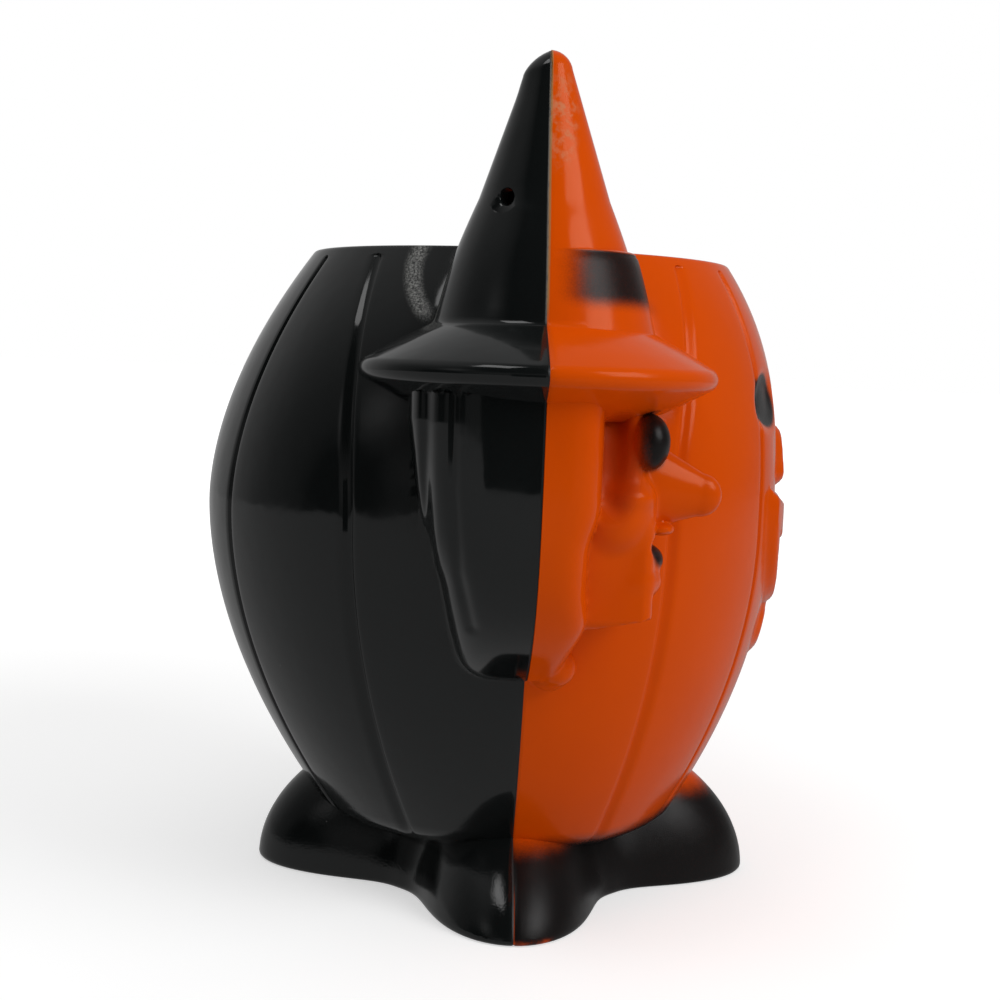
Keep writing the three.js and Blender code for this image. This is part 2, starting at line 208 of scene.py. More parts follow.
# Cross-section of a channel as (distance, depth) points. Distances grow away from the seam, where the
# wall leans as the mould had to draw off the half.
def channel_section(turn):
    lean = min(abs(math.tan(turn)), 20.0)
    run = CHANNEL_DEPTH / lean + 0.16
    near = [(-2.3, 0.0), (-1.6, 0.02), (-1.2, 0.07), (-0.98, 0.16), (-0.84, 0.3), (-0.74, 0.48),
            (-0.62, 0.63), (-0.5, CHANNEL_DEPTH), (-0.15, CHANNEL_DEPTH)]
    far = [(-0.15 + run * share, CHANNEL_DEPTH * (1 - share)) for share in (0.35, 0.65, 0.85)]
    return near + far + [(0.1 + run, 0.03), (0.4 + run, 0.0), (0.8 + run, 0.0)]


# Columns round one half of the bowl. Each is (turn, offset in mm, channel depth), and the offset keeps a
# channel's width the same from the rim to the foot. A column between two of them is (before, after, share).
def bowl_columns(half):
    first, last = (0, math.pi) if half == "back" else (math.pi, 2 * math.pi)
    columns = [(first, 0.0, 0.0)]
    radius = BOWL["side"]["belly"]

    def fill_up_to(column):
        before = columns[-1]
        gap = column[0] + column[1] / radius - (before[0] + before[1] / radius)
        count = max(int(gap * radius / COLUMN_STEP[half]), 1)
        columns.extend([(before, column, i / count) for i in range(1, count)])

    for turn in channel_turns(half):
        away = 1 if math.cos(turn) * math.sin(turn) > 0 else -1
        section = channel_section(turn)
        if abs(math.cos(turn)) < 0.01:
            # In the middle of the back both walls stand the same
            flipped = [(-s, d) for s, d in reversed(section) if s > -0.3]
            section = flipped + [(s, d) for s, d in section if s > -0.1]
        section = sorted((away * s, d) for s, d in section)
        fill_up_to((turn, section[0][0], 0.0))
        columns += [(turn, s, d) for s, d in section]
    fill_up_to((last, 0.0, 0.0))
    return columns + [(last, 0.0, 0.0)]


# Turns (radians) and cuts of all columns at one height
def column_turns(columns, height, width):
    climb = max((height - BELLY) / (RIM - BELLY), 0)
    side = float(bowl_reach("side", height))

    def turn_of(turn, offset, _):
        deep = float(bowl_reach("back" if math.sin(turn) > 0 else "front", height))
        local = max(math.hypot(side * math.sin(turn), deep * math.cos(turn)), LEAST_RADIUS)
        # Only the channels nearest the seam lean, and not the seam itself
        if 0.8 < abs(math.cos(turn)) < 0.999:
            turn += math.copysign(CHANNEL_LEAN * climb**1.5, math.sin(turn) * math.cos(turn))
        return turn + offset * width / local

    turns, cuts = [], []
    for column in columns:
        if isinstance(column[0], tuple):
            before, after, share = column
            turns.append(share * turn_of(*after) + (1 - share) * turn_of(*before))
            cuts.append(0.0)
        else:
            turns.append(turn_of(*column))
            cuts.append(column[2])
    return np.array(turns), np.array(cuts)


# Heights of the bowl's rings, which come close together at the channels' tips and at the rim
def bowl_rows(low_step, fine):
    turn_rows = [TURN - (TURN - UNDERSIDE) * math.sin(math.radians(a)) for a in np.linspace(86, 6, 14)]
    if fine:
        middle = [*np.arange(TURN, 36, low_step), *np.arange(36, 87, 0.6), *np.arange(87.5, 98.6, low_step)]
    else:
        middle = [*np.arange(TURN, 98.6, low_step)]
    top = [99.2, 99.5, 99.7, 99.85, 99.97, 100.07, 100.15, 100.22, 100.3, 100.6, 100.9]
    rounding = [RIM - RIM_ROUNDING * (1 - math.sin(math.radians(a))) for a in (0, 30, 60, 90)]
    return [*turn_rows, *middle, *top, *rounding]


def bowl_half_solid(half):
    columns = bowl_columns(half)
    other = np.linspace(0, math.pi, 14)[1:-1] + (math.pi if half == "back" else 0)
    rings = []
    for height in bowl_rows(1.2, half == "front"):
        near_top = min(max((height - CHANNEL_TOP + 0.8) / 0.8, 0), 1)
        width = max(math.sqrt(1 - near_top**2), 0.12)
        turns, cuts = column_turns(columns, height, width)
        edge = max(height - (RIM - RIM_ROUNDING), 0)
        inset = RIM_ROUNDING - math.sqrt(max(RIM_ROUNDING**2 - edge**2, 0))
        # The channel ends in a rounded tip below the rim, and fades out over the turn into the floor
        keep = float(smoothstep(CHANNEL_TOP, CHANNEL_TOP - 0.3, height))
        keep *= float(smoothstep(CHANNEL_FOOT - 1.5, CHANNEL_FOOT + 1.5, height))
        points = bowl_points(turns, height, inset)
        inset_there = inset + (cuts * keep - lantern_relief(points))
        ring = bowl_points(turns, height, inset_there)
        ring[:, 2] = height
        plain = bowl_points(other, height, inset)
        plain[:, 2] = height
        rings.append(np.vstack([ring, plain]))
    return loft("bowl_" + half, rings)


# The bowl moved inwards, and carried on past its rim with its edge rounded, as a tool to cut the inside
def bowl_inside():
    turns = full_turn(160)
    rings = [bowl_points(turns, height, WALL) for height in bowl_rows(2.4, False)]
    rings = [ring for ring in rings if ring[:, 2].mean() < RIM - 2 * RIM_ROUNDING]
    top = bowl_points(turns, RIM, WALL)
    top[:, 2] = RIM
    outwards = top[:, :2] / np.linalg.norm(top[:, :2], axis=1)[:, None]
    for angle in np.radians((0, 30, 60, 90)):
        ring = top.copy()
        ring[:, 2] = RIM - RIM_ROUNDING * (1 - math.sin(angle))
        ring[:, :2] += outwards * RIM_ROUNDING * (1 - math.cos(angle))
        rings.append(ring)
    past = rings[-1].copy()
    past[:, 2] += 2 * WALL
    return loft("inside", [*rings, past])


# Points along a smooth curve that is pulled towards its inner control points, without its last point
def curve(*points):
    share = np.linspace(0, 1, 12, endpoint=False)[:, None]
    points = [np.array(point, float) for point in points]
    while len(points) > 1:
        points = [a + (b - a) * share for a, b in zip(points, points[1:])]
    return points[0]


def ellipse(middle, halves, slant):
    turn = full_turn(40)
    x, y = halves[0] * np.cos(turn), halves[1] * np.sin(turn)
    slant = math.radians(slant)
    return np.stack([middle[0] + x * math.cos(slant) - y * math.sin(slant),
                     middle[1] + x * math.sin(slant) + y * math.cos(slant)], 1)


# Distance in a plane from a line through points
def line_distance(x, y, points):
    nearest = np.full(np.shape(x), 1e9)
    for (ax, ay), (bx, by) in zip(points, points[1:]):
        dx, dy = bx - ax, by - ay
        share = np.clip(((x - ax) * dx + (y - ay) * dy) / (dx * dx + dy * dy), 0, 1)
        nearest = np.minimum(nearest, np.hypot(x - ax - share * dx, y - ay - share * dy))
    return nearest


# Signed distance to a closed outline, negative inside
def outline_distance(outline, x, y):
    closed = np.vstack([outline, outline[:1]])
    nearest = line_distance(x, y, closed)
    inside = np.zeros(np.shape(x), bool)
    for (ax, ay), (bx, by) in zip(closed, closed[1:]):
        at = ax + (bx - ax) * (y - ay) / np.where(by == ay, 1e-9, by - ay)
        inside ^= ((ay > y) != (by > y)) & (x < at)
    return np.where(inside, -nearest, nearest)


# Closed outline from the control points of its right half's curves
def with_mirror_image(*right):
    left = [[(-x, y) for x, y in reversed(path)] for path in reversed(right)]
    return np.vstack([curve(*path) for path in (*right, *left)])


# Outlines of the jack-o'-lantern (across, up from the belly)
def lantern_outlines():
    nose_w, mouth_w = 6.5, 19.5
    nose = with_mirror_image(
        ((0, 5), (1.5 * nose_w, 5), (0.8 * nose_w, 10)),
        ((0.8 * nose_w, 10), (0.5 * nose_w, 15), (0, 15)),
    )
    mouth = with_mirror_image(
        ((0, -15), (0.8 * mouth_w, -15), (1.1 * mouth_w, -5), (mouth_w, 5)),
        ((mouth_w, 5), (mouth_w / 2, 2), (0, 4)),
    )
    gap = np.vstack([
        curve((3.2, -10), (15.5, -10), (15.5, -2)),
        curve((15.5, -2), (9.35, -5), (3.2, -2)),
        curve((3.2, -2), (3.2, -6), (3.2, -10)),
    ])
    return {
        "nose": nose,
        "mouth": mouth,
        "gap": gap,
        "eye": ellipse((17, 19.3), (7.6, 4.6), -12),
        "chin": ellipse((0, -18.2), (11.5, 5.2), 0),
    }


LANTERN = lantern_outlines()


# How far the jack-o'-lantern stands out of the bowl
def lantern_relief(points):
    x, up = points[:, 0], points[:, 2] - BELLY
    there = (points[:, 1] < 0) & (np.abs(x) < 27) & (np.abs(up) < 27)
    height = np.zeros(len(points))
    if not there.any():
        return height
    off = {name: outline_distance(line, np.abs(x[there]), up[there]) for name, line in LANTERN.items()}
    edge = 0.95
    mouth, nose, chin = (smoothstep(edge, -edge, off[name]) for name in ("mouth", "nose", "chin"))
    grin = mouth * smoothstep(-edge, edge, off["gap"])
    raised = np.maximum(np.maximum(grin, nose) * RELIEF["face"], chin * RELIEF["chin"])
    height[there] = raised + smoothstep(edge, -2.5, off["eye"]) * RELIEF["eye"]
    return height


# Plan of the feet's four lobes
def skirt_reach(turn):
    front_or_back = np.where(np.sin(turn) > 0, LOBE["back"], LOBE["front"])
    tip = LOBE["side"] + (front_or_back - LOBE["side"]) * np.sin(turn) ** 2
    return VALLEY + (tip - VALLEY) * np.abs(np.cos(2 * turn)) ** LOBE_SHARPNESS


# The feet as one solid. Moved inwards by an inset, it is the tool that hollows them.
def skirt_solid(inset, columns, rows):
    turn = full_turn(columns)
    reach = skirt_reach(turn) - inset
    sideways = np.cos(turn) ** 2
    top = LOBE_TOP["deep"] + (LOBE_TOP["side"] - LOBE_TOP["deep"]) * sideways - inset
    power = LOBE_POWER["deep"] + (LOBE_POWER["side"] - LOBE_POWER["deep"]) * sideways

    def ring(height, tuck):
        share = (1 - np.minimum(max(height, 0) / top, 0.95) ** power) ** (1 / power)
        r = reach * share - tuck
        return level_ring(r * np.cos(turn), r * np.sin(turn), height)

    if inset:
        lowest = [ring(-1.0, -0.3), ring(0.0, -0.3), ring(0.35, 0.0)]
    else:
        angles = [math.radians(a) for a in (90, 60, 30, 0)]
        lowest = [ring(FOOT_EDGE * (1 - math.sin(a)), FOOT_EDGE * (1 - math.cos(a))) for a in angles]
    heights = np.linspace(1.2, SKIRT_TOP - inset, rows)
    return loft("skirt", [*lowest, *[ring(height, 0) for height in heights]])


# Radius of the hat's cone, with a slight bulge low down
def crown_radius(rise):
    share = (rise - CROWN["rise"]) / (HAT_TIP["rise"] - HAT_TIP["radius"] - CROWN["rise"])
    bulge = 0.5 * math.sin(math.pi * min(max((rise - CROWN["rise"]) / 17, 0), 1))
    return CROWN["radius"] + (HAT_TIP["radius"] - CROWN["radius"]) * share + bulge


# Profile of the hat as (radius, rise) points, from the middle of its underside to the top of its tip
def hat_profile():
    centre = (BRIM["radius"] - BRIM["lip"], -0.15)
    angles = [math.radians(a) for a in np.linspace(-63, BRIM["slope"], 14)]
    lip = [(centre[0] + BRIM["lip"] * math.cos(a), centre[1] + BRIM["lip"] * math.sin(a)) for a in angles]
    under = curve((HAT_UNDER["radius"], -HAT_UNDER["drop"]), (20, -3.9), lip[0])
    foot_radius, low = crown_radius(CROWN["rise"]), 7.2
    foot = (foot_radius + 0.5, CROWN["rise"] - 0.42)
    over = curve(lip[-1], (19.8, 4.0), foot)
    crease = curve(foot, (foot_radius + 0.05, CROWN["rise"] - 0.1), (crown_radius(low), low))[::3]
    top, blunt = HAT_TIP["rise"], HAT_TIP["radius"] - 0.2
    angles = [math.radians(a) for a in range(18, 90, 9)]
    tip = [(blunt * math.cos(a), top - blunt * (1 - math.sin(a))) for a in angles]
    cone = [(crown_radius(rise), rise) for rise in np.linspace(low, tip[0][1] - 0.4, 24)]
    return [(0, -HAT_UNDER["drop"]), *under, *lip, *over[1:], *crease, *cone, *tip, (0, top)]


# The orange hat has a raised band, and the black one's tip slants down away from the seam
def hat_solid(half):
    hat = turned("hat", hat_profile(), 120, (HAT_X, 0, BRIM_Z))
    if half == "front":
        rise = BAND["rise"]
        rounding = ((0.05, 0.6), (-0.05, 0.25), (-0.35, 0.05), (-0.7, 0))
        edge = [(crown_radius(rise) + wider, rise - lower) for wider, lower in rounding]
        low = CROWN["rise"] - 1.6
        cone = [(crown_radius(r), r) for r in np.linspace(low, rise - 0.9, 11)]
        band = turned("band", [(0, low), *cone, *edge, (0, rise)], 120, (HAT_X, -BAND["step"], BRIM_Z))
        apply_boolean(hat, band, "UNION")
    else:
        blunt = BRIM_Z + HAT_TIP["rise"] - 7
        for vertex in hat.data.vertices:
            back, height = vertex.co.y / MM - SEAM_Y, vertex.co.z / MM
            share = float(smoothstep(blunt, blunt + 6, height))
            vertex.co.z -= (0.45 * max(back, 0) + 0.1) * share * MM
            vertex.co.y += 0.22 * max(back, 0) * share * MM
            vertex.co.x += 0.1 * (vertex.co.x - HAT_X * MM) * share
    return hat


def hat_hollow():
    top = HAT_TIP["rise"] - 2 * HAT_TIP["radius"]
    profile = [
        (0, -HAT_UNDER["drop"] - 2 * WALL),
        (HAT_UNDER["radius"] - WALL, -HAT_UNDER["drop"] + WALL / 2),
        (BRIM["radius"] - 2.5 * WALL, 0),
        (CROWN["radius"] - WALL, CROWN["rise"] - WALL / 2),
        (crown_radius(top) - WALL, top),
        (0, top + WALL / 2),
    ]
    return turned("hat_hollow", profile, 48, (HAT_X, 0, BRIM_Z))


# Tool that cuts the cord hole, which widens at the wall's outer face
def cord_hole():
    length, face = 2 * CROWN["radius"], crown_radius(CORD_HOLE["rise"])
    turn = full_turn(40)
    widening = [(0, 0), (face - 0.55, 0), (face - 0.3, 0.12)]
    widening += [(face - 0.1, 0.4), (face + 0.3, 1.3), (length, 1.4)]
    rings = []
    for along, wider in widening:
        radius = CORD_HOLE["radius"] + wider
        rings.append(np.stack([np.full(40, along), radius * np.cos(turn), radius * np.sin(turn)], 1))
    rings = np.array(rings)
    angle = math.radians(CORD_HOLE["turn"])
    turned_x = rings[..., 0] * math.cos(angle) - rings[..., 1] * math.sin(angle)
    turned_y = rings[..., 0] * math.sin(angle) + rings[..., 1] * math.cos(angle)
    points = np.stack([HAT_X + turned_x, turned_y, BRIM_Z + CORD_HOLE["rise"] + rings[..., 2]], -1)
    return loft("cord_hole", points)


# Witch's head as a field of distances, negative inside, at points p of (out, forward, up)
def ball(p, middle, halves):
    q = (p - middle) / halves
    length = np.linalg.norm(q, axis=-1)
    slope = np.linalg.norm(q / halves, axis=-1)
    return length * (length - 1) / np.maximum(slope, 1e-6)


def taper(p, start, end, radius_start, radius_end, squash=(1, 1, 1)):
    squash = np.asarray(squash, float)
    a, b, q = np.asarray(start, float) / squash, np.asarray(end, float) / squash, p / squash
    along = b - a
    share = np.clip(((q - a) @ along) / (along @ along), 0, 1)
    distance = np.linalg.norm(q - a - share[..., None] * along, axis=-1)
    return (distance - radius_start - (radius_end - radius_start) * share) * squash.min()


def rounded_box(p, middle, halves, rounding):
    q = np.abs(p - middle) - (np.array(halves) - rounding)
    outside = np.linalg.norm(np.maximum(q, 0), axis=-1)
    return outside + np.minimum(q.max(-1), 0) - rounding


def blend(a, b, size):
    mix = np.clip(0.5 + 0.5 * (b - a) / size, 0, 1)
    return b + (a - b) * mix - size * mix * (1 - mix)


def carve(a, b, size):
    return -blend(-a, b, size)


def bowl_field(p):
    deep = np.where(p[..., 1] > 0, bowl_reach("front", p[..., 2]), bowl_reach("back", p[..., 2]))
    side = bowl_reach("side", p[..., 2])
    length = np.hypot(p[..., 0] / side, p[..., 1] / deep)
    return (length - 1) * np.minimum(side, deep)


# Face without its nose. Each form is a squeezed ball that is added or cut away on both sides of the face's
# middle: (blend or carve, (off the middle, forward, up), halves, softness of the join).
FACE_FORMS = (
    (carve, (0, 18.3, 60.8), (10.0, 3.0, 1.9), 0.7),  # Mouth
    (blend, (0, 15.0, 58.7), (4.0, 2.8, 2.3), 0.6),  # Lower lip
    (blend, (0, 14.0, 55.9), (5.2, 3.7, 2.9), 0.9),  # Chin
    (blend, (1.9, 9.7, 65.4), (6.6, 6.6, 6.9), 0.8),  # Cheeks
    (carve, (10.1, 9.9, 72.4), (4.0, 2.4, 6.9), 2.2),  # Temples
    (blend, (3.0, 12.4, 73.6), (3.7, 2.0, 7.2), 2.0),  # Ridges beside the eyes
    (blend, (4.3, 12.1, 67.6), (3.8, 3.6, 1.8), 1.5),  # Bags under the eyes
)
FORMS_OVER_NOSE = (
    (blend, (4.7, 14.6, 75.0), (3.7, 2.8, 3.8), 0.3),  # Eyes
    (blend, (0, 17.0, 63.1), (4.0, 2.2, 1.0), 0.4),  # Upper lip
)


def face_field(p):
    x = FACE_X
    skull = ball(p, (x - 0.5, 3.2, 66), (8.2, 12.2, 17))
    jaw = rounded_box(p, (x - 1.0, 7.3, 57.3), (6.5, 8.8, 8.0), 1.7)
    face = blend(skull, jaw, 2.0)
    q = p.copy()
    q[..., 0] = np.abs(q[..., 0] - x)
    for join, middle, halves, softness in FACE_FORMS:
        face = join(face, ball(q, middle, halves), softness)
    nose = taper(p, (x, 14.9, 68.8), (x, 22.5, 67.8), 6.3, 3.0, (0.6, 1, 1))
    face = blend(face, nose, 0.6)
    for join, middle, halves, softness in FORMS_OVER_NOSE:
        face = join(face, ball(q, middle, halves), softness)
    return face


# How far the hair reaches at a height: outwards, to its back edge, and to its wavy front edge
def hair_reach(up):
    share = np.clip((up - 37.6) / 41.4, 0, 1)
    climb = np.clip((up - 40) / 37, 0, 1)
    wave = 0.5 * np.exp(-(((up - 51) / 3) ** 2))
    return {
        "out": FACE_X - 8.5 + 23.0 * (1 - (1 - share) ** 3.8),
        "back": 9.0 + 9.9 * climb - 2.4 * climb**2 + 1.3 * smoothstep(54, 63, up),
        "front": 8.3 - 1.4 * smoothstep(67, 60, up) + wave - 2.4 * smoothstep(50, 41, up),
    }


def hair_field(p):
    out, forward, up = p[..., 0], p[..., 1], p[..., 2]
    reach = hair_reach(up)
    middle, half = (reach["out"] + HAIR_INNER) / 2, (reach["out"] - HAIR_INNER) / 2
    deep = np.where(forward > 0, reach["front"], reach["back"])
    fullness = np.where(forward > 0, 4.5, 3.0)
    q = (np.abs((out - middle) / half) ** fullness + np.abs(forward / deep) ** fullness) ** (1 / fullness)
    mass = (q - 1) * np.minimum(half, deep)
    foot = rounded_box(p, (FACE_X - 4, -1.5, 60), (24, 9.3, 19.6), 6.0)
    hair = carve(mass, -(foot - 12 * smoothstep(45, 58, up)), 1.2)
    # Grooves between the locks: depth, width and (forward, up) points
    grooves = (
        (0.55, 0.8, ((-15.2, 84), (-14.9, 70), (-14.2, 58.6))),
        (0.4, 0.7, ((-11.6, 84), (-11.3, 68), (-10.2, 57.3), (-8.2, 49.6))),
    )
    for depth, width, path in grooves:
        hair = hair + depth * np.exp(-((line_distance(forward, up, path) / width) ** 2))
    tip = taper(p, (FACE_X - 4.0, 4.1, 42.6), (FACE_X - 7.0, 3.4, 41.2), 2.8, 2.7)
    return blend(hair, tip, 0.35)


def head_field(p):
    jaw_low, jaw_slope, top = 49.3, 0.2, 81.0
    jaw_edge = jaw_low + jaw_slope * np.clip(p[..., 1] - 7, 0, None)
    head = np.minimum(hair_field(p), np.maximum(face_field(p), jaw_edge - p[..., 2]))
    head = np.maximum(head, p[..., 2] - top)
    # The bowl is let in only close by, for a fillet round the head, and sinks away further off
    return blend(head, bowl_field(p) + 0.05 + 1.2 * np.clip(head - 0.8, 0, 5), 1.3)


# Index of a slice along one axis of three, with the same slice on the other two
def along(axis, piece, others=slice(None)):
    return tuple(piece if k == axis else others for k in range(3))


# Skin of a field by surface nets, with each point then moved onto the true surface
def field_skin(name, field, low, high, cell, side):
    axes = [np.arange(a, b + cell, cell) for a, b in zip(low, high)]
    grid = np.stack(np.meshgrid(*axes, indexing="ij"), -1)
    value = np.empty(grid.shape[:3])
    for i in range(len(axes[0])):
        value[i] = field(grid[i])
    for axis in range(3):
        for end in (0, -1):
            edge = along(axis, end)
            value[edge] = np.maximum(value[edge], 0.3)
    inside = value < 0
    all_but_last, all_but_first, inner = slice(None, -1), slice(1, None), slice(1, -1)
    cells = tuple(n - 1 for n in value.shape)
    total, hits = np.zeros((*cells, 3)), np.zeros(cells)
    for axis in range(3):
        a, b = value[along(axis, all_but_last)], value[along(axis, all_but_first)]
        crosses = (a < 0) != (b < 0)
        share = np.where(crosses, a / np.where(crosses, a - b, 1), 0)
        # The four edges of each cell along this axis
        for start in np.ndindex(*(1 if k == axis else 2 for k in range(3))):
            edges = tuple(slice(first, first + count) for first, count in zip(start, cells))
            hit = crosses[edges]
            hits += hit
            total[..., axis] += np.where(hit, share[edges], 0)
            total += hit[..., None] * start
    used = hits > 0
    number = np.full(cells, -1)
    number[used] = np.arange(used.sum())
    corner = np.stack(np.nonzero(used), -1)
    points = np.array(low) + cell * (corner + total[used] / hits[used][:, None])
    faces = []
    for axis in range(3):
        u, v = (axis + 1) % 3, (axis + 2) % 3
        a, b = inside[along(axis, all_but_last, inner)], inside[along(axis, all_but_first, inner)]
        place = np.stack(np.nonzero(a != b), -1)
        leaves = a[a != b]
        place[:, u] += 1
        place[:, v] += 1
        ring = []
        for du, dv in ((-1, -1), (0, -1), (0, 0), (-1, 0)):
            at = place.copy()
            at[:, u] += du
            at[:, v] += dv
            ring.append(number[tuple(at.T)])
        ring = np.stack(ring, 1)
        ring[~leaves] = ring[~leaves][:, ::-1]
        faces.append(ring)
    faces = np.vstack(faces)
    for _ in range(3):
        points = project(points, field, low, high, cell)
    # (out, forward, up) to (x, y, z), which mirrors each face once, and the left side once more
    points = points * (side, -1, 1)
    if side > 0:
        faces = faces[:, ::-1]
    return mesh_object(name, points, faces)


# Moves points along the field's slope to where it is zero, but for those at the edge of the box
def project(points, field, low, high, cell):
    step = 0.02
    here = field(points)
    slope = np.stack([(field(points + step * e) - here) / step for e in np.eye(3)], -1)
    size = (slope**2).sum(-1)
    move = -slope * (here / np.maximum(size, 0.05))[:, None]
    length = np.linalg.norm(move, axis=1)
    move *= np.minimum(1, 0.5 * cell / np.maximum(length, 1e-9))[:, None]
    near = ((points > np.array(low) + cell) & (points < np.array(high) - cell)).all(1)
    return points + move * near[:, None]


# Hollow of the hair, about one wall inside it
def hair_hollow():
    turn = full_turn(60)
    inner = HAIR_INNER - WALL
    low, high = 44.5, 78.5
    wall_out, wall_back, front, squareness = 2.3, 3.2, 4.6, 0.77
    rings = []
    for height in np.linspace(low, high, 20):
        reach = hair_reach(height)
        rounding = 0.3 + 0.7 * math.sqrt(1 - (1 - min((height - low) / 5, 1)) ** 2)
        middle, half = (reach["out"] - wall_out + inner) / 2, (reach["out"] - wall_out - inner) / 2
        deep = np.where(turn < math.pi, reach["back"] - wall_back, front) * rounding
        cosine, sine = np.cos(turn), np.sin(turn)
        x = middle + half * np.sign(cosine) * np.abs(cosine) ** squareness
        y = deep * np.sign(sine) * np.abs(sine) ** squareness
        rings.append(level_ring(x, y, height))
    return loft("hair_hollow", rings)


# Hollow of the face, which opens into the hair's
def skull_hollow():
    turn = full_turn(40)
    middle, halves = (FACE_X, -3.5, 66), (4.6, 8.6, 12.0)
    rings = []
    for angle in np.radians(np.linspace(-84, 84, 22)):
        r, z = math.cos(angle), math.sin(angle)
        x, y = middle[0] + halves[0] * r * np.cos(turn), middle[1] + halves[1] * r * np.sin(turn)
        rings.append(level_ring(x, y, middle[2] + halves[2] * z))
    return loft("skull_hollow", rings)


# Moves what is made for the right side to the left, where side is negative
def on_side(side, made):
    if side < 0:
        made.data.transform(Matrix.Scale(-1, 4, (1, 0, 0)))
        made.data.flip_normals()
    return made


def half_space(side):
    reach = 200.0
    low, high = (0, reach) if side > 0 else (-reach, 0)
    plan = ((-reach, low), (reach, low), (reach, high), (-reach, high))
    return loft("half_space", [[(x, y, z) for x, y in plan] for z in (-10, reach)])


# Eases the edge along the seam, so that the two halves meet in a fine groove
def ease_seam(made, half):
    away = 1 if half == "back" else -1
    mesh = bmesh.new()
    mesh.from_mesh(made.data)
    bmesh.ops.bisect_plane(mesh, geom=[*mesh.verts, *mesh.edges, *mesh.faces], dist=1e-7,
                           plane_co=(0, (SEAM_Y + away * GROOVE["width"]) * MM, 0), plane_no=(0, 1, 0))
    mesh.normal_update()
    moves = {}
    for vertex in mesh.verts:
        if abs(vertex.co.y - SEAM_Y * MM) < 1e-6:
            outwards = Vector()
            for face in vertex.link_faces:
                if abs(face.normal.y) < 0.95:
                    outwards += Vector((face.normal.x, 0, face.normal.z))
            if outwards.length > 0:
                moves[vertex] = -GROOVE["depth"] * MM * outwards.normalized()
    for vertex, move in moves.items():
        vertex.co += move
    mesh.to_mesh(made.data)
    mesh.free()


# One half of the cup as a single closed shell: bowl, feet, heads and hats, hollowed and cut at the seam
def shell(half, node):
    made = bowl_half_solid(half)
    feet = skirt_solid(0, 240, 26)
    apply_boolean(feet, skirt_solid(WALL, 120, 12), "DIFFERENCE")
    apply_boolean(made, feet, "UNION")
    low, high = HEAD_LOW, HEAD_HIGH
    if half == "front":
        low = (low[0], -PAST_SEAM, low[2])
    else:
        high = (high[0], PAST_SEAM, high[2])
    for side in (1, -1):
        head = field_skin("head", head_field, low, high, CELL, side)
        apply_boolean(head, on_side(side, hat_solid(half)), "UNION")
        apply_boolean(made, head, "UNION")
    hollows = [hat_hollow, hair_hollow, skull_hollow]
    for side in (1, -1):
        for make in hollows if half == "front" else [*hollows, cord_hole]:
            apply_boolean(made, on_side(side, make()), "DIFFERENCE")
    apply_boolean(made, bowl_inside(), "DIFFERENCE")
    apply_boolean(made, half_space(1 if half == "back" else -1), "INTERSECT")
    ease_seam(made, half)
    made.name = made.data.name = half + "_half"
    made.data.shade_smooth()
    made.data.set_sharp_from_angle(angle=SHARP)
    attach(made, "root")
    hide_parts(node)
    return made


class Tree:
    """Short ways to add and link shader nodes of one material or world."""

    def __init__(self, owner):
        owner.use_nodes = True
        self.nodes = owner.node_tree.nodes
        self.link = owner.node_tree.links.new

    def add(self, kind, **settings):
        node = self.nodes.new(kind)
        for name, value in settings.items():
            setattr(node, name, value)
        return node

    def put(self, socket, value):
        if hasattr(value, "links"):
            self.link(value, socket)
        elif hasattr(socket.default_value, "__len__") and len(value) < len(socket.default_value):
            socket.default_value = (*value, 1)
        else:
            socket.default_value = value

    def math(self, operation, *values, clamp=False):
        node = self.add("ShaderNodeMath", operation=operation, use_clamp=clamp)
        for socket, value in zip(node.inputs, values):
            self.put(socket, value)
        return node.outputs[0]

    def seen_by_eye_and_gloss(self):
        """1 for camera, glossy and transmission rays, 0 for the rest."""
        rays = self.add("ShaderNodeLightPath").outputs
        total = rays["Is Camera Ray"]
        for ray in ("Is Glossy Ray", "Is Transmission Ray"):
            total = self.math("ADD", total, rays[ray], clamp=True)
        return total


